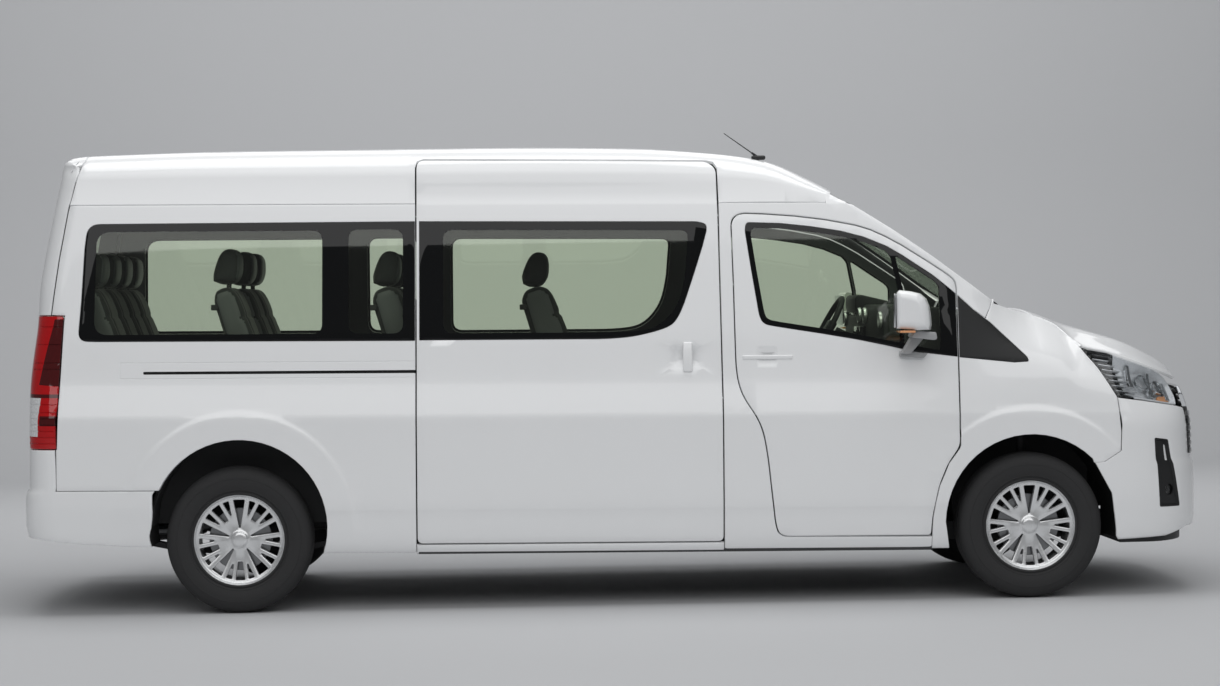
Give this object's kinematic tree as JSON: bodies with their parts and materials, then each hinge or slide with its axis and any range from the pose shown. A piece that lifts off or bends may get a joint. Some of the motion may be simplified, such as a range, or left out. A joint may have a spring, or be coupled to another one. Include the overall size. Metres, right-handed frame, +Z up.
{
  "type": "passenger van",
  "caption": "High-roof long-wheelbase passenger van that rolls and steers, with opening front doors, tailgate and bonnet, and rows of seats in a glazed cabin",
  "frame": {"origin": "on the ground, at the middle of the van's overall length and width", "axes": "+X to the front of the van, +Z up, the van's right-hand side at -Y"},
  "size_m": [5.9126, 2.4, 2.3261],
  "materials": {
    "alloy": "painted silver alloy",
    "bare_steel": "bare steel",
    "black_plastic": "grained black plastic",
    "cast_iron": "raw cast iron",
    "clear_glass": "clear laminated windscreen",
    "dark_chrome": "smoked chrome",
    "dark_trim": "dark grey trim and underbody coating",
    "grey_fabric": "dark grey woven seat cover",
    "lamp_lens": "clear lamp lens",
    "red_lens": "red lamp lens",
    "tinted_glass": "dark tinted safety glass",
    "tyre_rubber": "black tyre rubber",
    "white_paint": "gloss white body paint"
  },
  "bodies": {
    "van_body": {"aerial": "black_plastic", "dashboard": "dark_trim", "engine": "cast_iron", "exhaust": "bare_steel", "fender_left": "white_paint", "fender_right": "white_paint", "floor_pan": "dark_trim", "front_bumper": "white_paint", "front_frame_left": "white_paint", "front_frame_right": "white_paint", "front_seats": "grey_fabric", "front_subframe": "bare_steel", "fuel_tank": "black_plastic", "grille": "dark_chrome", "headlamp_left": "lamp_lens", "headlamp_right": "lamp_lens", "quarter_glass_left": "tinted_glass", "quarter_glass_right": "tinted_glass", "quarter_right": "white_paint", "rear_axle": "cast_iron", "rear_bumper": "white_paint", "roof": "white_paint", "scuttle": "black_plastic", "seat_row_1": "grey_fabric", "seat_row_2": "grey_fabric", "seat_row_3": "grey_fabric", "seat_row_4": "grey_fabric", "side_glass_left": "tinted_glass", "side_left": "white_paint", "sliding_door": "white_paint", "sliding_door_glass": "tinted_glass", "spare_wheel": "tyre_rubber", "tail_lamp_left": "red_lens", "tail_lamp_right": "red_lens", "windscreen": "clear_glass"},
    "front_door_right": {"door_right": "white_paint", "door_glass_right": "tinted_glass", "mirror_right": "white_paint"},
    "steering_knuckle_right": {"knuckle_right": "cast_iron"},
    "front_wheel_right": {"tyre_front_right": "tyre_rubber", "rim_front_right": "alloy"},
    "rear_wheel_right": {"tyre_rear_right": "tyre_rubber", "rim_rear_right": "alloy"},
    "front_door_left": {"door_left": "white_paint", "door_glass_left": "tinted_glass", "mirror_left": "white_paint"},
    "steering_knuckle_left": {"knuckle_left": "cast_iron"},
    "front_wheel_left": {"tyre_front_left": "tyre_rubber", "rim_front_left": "alloy"},
    "rear_wheel_left": {"tyre_rear_left": "tyre_rubber", "rim_rear_left": "alloy"},
    "tailgate_lid": {"tailgate": "white_paint", "tailgate_glass": "tinted_glass"},
    "bonnet_lid": {"bonnet": "white_paint"},
    "hand_wheel": {"steering_wheel": "dark_trim"}
  },
  "joints": [
    {"name": "front_door_right_hinge", "type": "hinge", "parent": "van_body", "child": "front_door_right", "pos_m": [1.69238, -0.976, 0.98222], "axis": [0.0105, 0, 0.9999], "range_deg": [0, 65]},
    {"name": "front_door_left_hinge", "type": "hinge", "parent": "van_body", "child": "front_door_left", "pos_m": [1.69238, 0.976, 0.98222], "axis": [-0.0105, 0, -0.9999], "range_deg": [0, 65]},
    {"name": "tailgate_hinge", "type": "hinge", "parent": "van_body", "child": "tailgate_lid", "pos_m": [-2.56179, 0, 2.27734], "axis": [0, 1, 0], "range_deg": [0, 85]},
    {"name": "bonnet_hinge", "type": "hinge", "parent": "van_body", "child": "bonnet_lid", "pos_m": [2.08954, 0, 1.42509], "axis": [0, -1, 0], "range_deg": [0, 50]},
    {"name": "steer_right", "type": "hinge", "parent": "van_body", "child": "steering_knuckle_right", "pos_m": [2.0345, -0.775, 0.356], "axis": [0, 0, 1], "range_deg": [-35, 35]},
    {"name": "steer_left", "type": "hinge", "parent": "van_body", "child": "steering_knuckle_left", "pos_m": [2.0345, 0.775, 0.356], "axis": [0, 0, 1], "range_deg": [-35, 35]},
    {"name": "steering_wheel_turn", "type": "hinge", "parent": "van_body", "child": "hand_wheel", "pos_m": [1.20841, 0.48, 1.32231], "axis": [-0.878, 0, 0.4787], "range_deg": [-525, 525]},
    {"name": "front_wheel_right_spin", "type": "hinge", "parent": "steering_knuckle_right", "child": "front_wheel_right", "pos_m": [2.0345, -0.83, 0.356], "axis": [0, 1, 0], "continuous": true},
    {"name": "rear_wheel_right_spin", "type": "hinge", "parent": "van_body", "child": "rear_wheel_right", "pos_m": [-1.8255, -0.83, 0.356], "axis": [0, 1, 0], "continuous": true},
    {"name": "front_wheel_left_spin", "type": "hinge", "parent": "steering_knuckle_left", "child": "front_wheel_left", "pos_m": [2.0345, 0.83, 0.356], "axis": [0, 1, 0], "continuous": true},
    {"name": "rear_wheel_left_spin", "type": "hinge", "parent": "van_body", "child": "rear_wheel_left", "pos_m": [-1.8255, 0.83, 0.356], "axis": [0, 1, 0], "continuous": true}
  ],
  "couplings": [
    {"joint": "steer_left", "follows": "steer_right", "ratio": 1},
    {"joint": "steering_wheel_turn", "follows": "steer_right", "ratio": 15}
  ]
}
